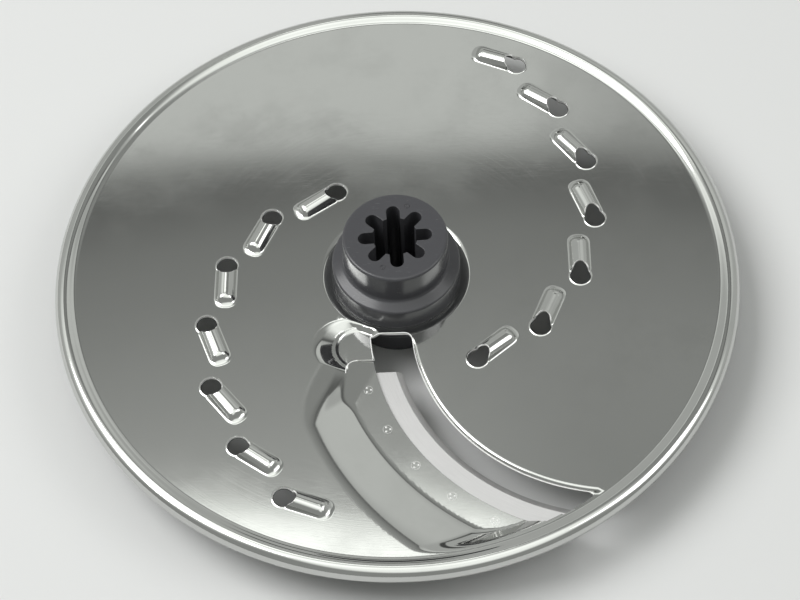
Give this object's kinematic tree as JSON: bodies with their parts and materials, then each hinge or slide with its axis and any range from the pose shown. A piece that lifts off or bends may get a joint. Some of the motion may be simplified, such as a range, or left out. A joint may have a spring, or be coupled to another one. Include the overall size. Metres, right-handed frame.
{
  "type": "food processor disc",
  "caption": "Round steel cutting disc with a rolled rim, hooded grating teeth in spiral rows, a curved slicing blade in a pressed seat and a moulded hub with a lobed drive socket.",
  "frame": {"origin": "on the drive axis, at the foot of the hub", "axes": "+Z along the drive axis towards the grating side, +Y away from the blade's slot, +X to the right"},
  "size_m": [0.17, 0.17, 0.0315],
  "materials": {
    "polished_sheet": "polished",
    "blade_steel": "satin, with a ground bevel",
    "hub_plastic": "semi-gloss moulded"
  },
  "bodies": {
    "root": {"disc_plate": "polished_sheet", "slicing_blade": "blade_steel", "drive_hub": "hub_plastic"}
  },
  "joints": []
}
